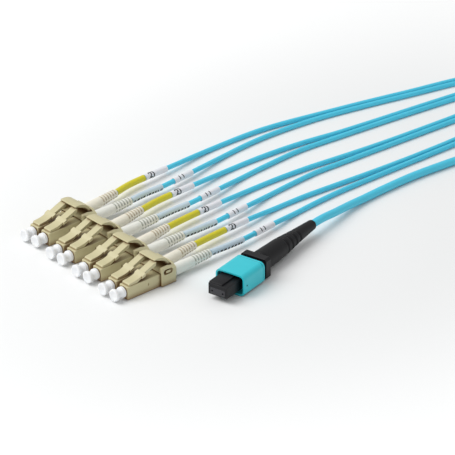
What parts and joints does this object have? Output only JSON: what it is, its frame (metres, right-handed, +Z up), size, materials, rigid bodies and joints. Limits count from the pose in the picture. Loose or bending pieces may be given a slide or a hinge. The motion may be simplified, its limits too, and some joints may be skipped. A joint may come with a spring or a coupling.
{
  "type": "fibre breakout cable",
  "caption": "Breakout cable: a multi-fibre trunk plug, a coiled trunk and a fan-out block whose thin legs end in capped duplex plugs.",
  "frame": {"origin": "middle of the flat underside of the front plug housing, on the floor", "axes": "+X from the dust caps of the duplex plugs to their boots and on along the cable, +Y to the back duplex plug, +Z up"},
  "size_m": [0.3088, 0.1176, 0.0111],
  "materials": {
    "beige_plastic": "moulded, satin",
    "cap_plastic": "moulded, soft, slightly translucent",
    "white_plastic": "moulded, soft",
    "aqua_jacket": "extruded jacket, satin",
    "yellow_tube": "shrunk tube, satin",
    "white_tube": "shrunk tube, satin",
    "aqua_plastic": "moulded, semi-gloss",
    "black_plastic": "moulded, satin",
    "black_rubber": "moulded, matt",
    "grey_ferrule": "ground and polished glass-filled plastic"
  },
  "bodies": {
    "harness": {"duplex_clip_1": "beige_plastic", "duplex_clip_2": "beige_plastic", "duplex_clip_3": "beige_plastic", "duplex_clip_4": "beige_plastic", "plug_housing_1a": "beige_plastic", "plug_housing_1b": "beige_plastic", "plug_housing_2a": "beige_plastic", "plug_housing_2b": "beige_plastic", "plug_housing_3a": "beige_plastic", "plug_housing_3b": "beige_plastic", "plug_housing_4a": "beige_plastic", "plug_housing_4b": "beige_plastic", "plug_boot_1a": "white_plastic", "plug_boot_1b": "white_plastic", "plug_boot_2a": "white_plastic", "plug_boot_2b": "white_plastic", "plug_boot_3a": "white_plastic", "plug_boot_3b": "white_plastic", "plug_boot_4a": "white_plastic", "plug_boot_4b": "white_plastic", "leg_1a": "aqua_jacket", "leg_1b": "aqua_jacket", "leg_2a": "aqua_jacket", "leg_2b": "aqua_jacket", "leg_3a": "aqua_jacket", "leg_3b": "aqua_jacket", "leg_4a": "aqua_jacket", "leg_4b": "aqua_jacket", "yellow_sleeve_1": "yellow_tube", "yellow_sleeve_2": "yellow_tube", "yellow_sleeve_3": "yellow_tube", "yellow_sleeve_4": "yellow_tube", "label_sleeve_1a": "white_tube", "label_sleeve_1b": "white_tube", "label_sleeve_2a": "white_tube", "label_sleeve_2b": "white_tube", "label_sleeve_3a": "white_tube", "label_sleeve_3b": "white_tube", "label_sleeve_4a": "white_tube", "label_sleeve_4b": "white_tube", "trunk_plug_housing": "black_plastic", "trunk_plug_ferrule": "grey_ferrule", "trunk_plug_rear_body": "black_plastic", "trunk_plug_boot": "black_rubber", "trunk_run": "aqua_jacket", "trunk_coil": "aqua_jacket", "trunk_tail": "aqua_jacket", "coil_tie": "black_plastic", "fan_out_block": "black_plastic"},
    "coupling_sleeve": {"trunk_plug_sleeve": "aqua_plastic"},
    "cap_1a": {"dust_cap_1a": "cap_plastic"},
    "cap_1b": {"dust_cap_1b": "cap_plastic"},
    "cap_2a": {"dust_cap_2a": "cap_plastic"},
    "cap_2b": {"dust_cap_2b": "cap_plastic"},
    "cap_3a": {"dust_cap_3a": "cap_plastic"},
    "cap_3b": {"dust_cap_3b": "cap_plastic"},
    "cap_4a": {"dust_cap_4a": "cap_plastic"},
    "cap_4b": {"dust_cap_4b": "cap_plastic"}
  },
  "joints": [
    {"name": "sleeve_slide", "type": "slide", "parent": "harness", "child": "coupling_sleeve", "axis": [0.9724, 0.2334, 0], "range_m": [0, 0.0015], "stiffness_N_per_m": 500},
    {"name": "cap_1a_pull", "type": "slide", "parent": "harness", "child": "cap_1a", "axis": [-1, 0, 0], "range_m": [0, 0.008]},
    {"name": "cap_1b_pull", "type": "slide", "parent": "harness", "child": "cap_1b", "axis": [-1, 0, 0], "range_m": [0, 0.008]},
    {"name": "cap_2a_pull", "type": "slide", "parent": "harness", "child": "cap_2a", "axis": [-1, 0, 0], "range_m": [0, 0.008]},
    {"name": "cap_2b_pull", "type": "slide", "parent": "harness", "child": "cap_2b", "axis": [-1, 0, 0], "range_m": [0, 0.008]},
    {"name": "cap_3a_pull", "type": "slide", "parent": "harness", "child": "cap_3a", "axis": [-1, 0, 0], "range_m": [0, 0.008]},
    {"name": "cap_3b_pull", "type": "slide", "parent": "harness", "child": "cap_3b", "axis": [-1, 0, 0], "range_m": [0, 0.008]},
    {"name": "cap_4a_pull", "type": "slide", "parent": "harness", "child": "cap_4a", "axis": [-1, 0, 0], "range_m": [0, 0.008]},
    {"name": "cap_4b_pull", "type": "slide", "parent": "harness", "child": "cap_4b", "axis": [-1, 0, 0], "range_m": [0, 0.008]}
  ]
}
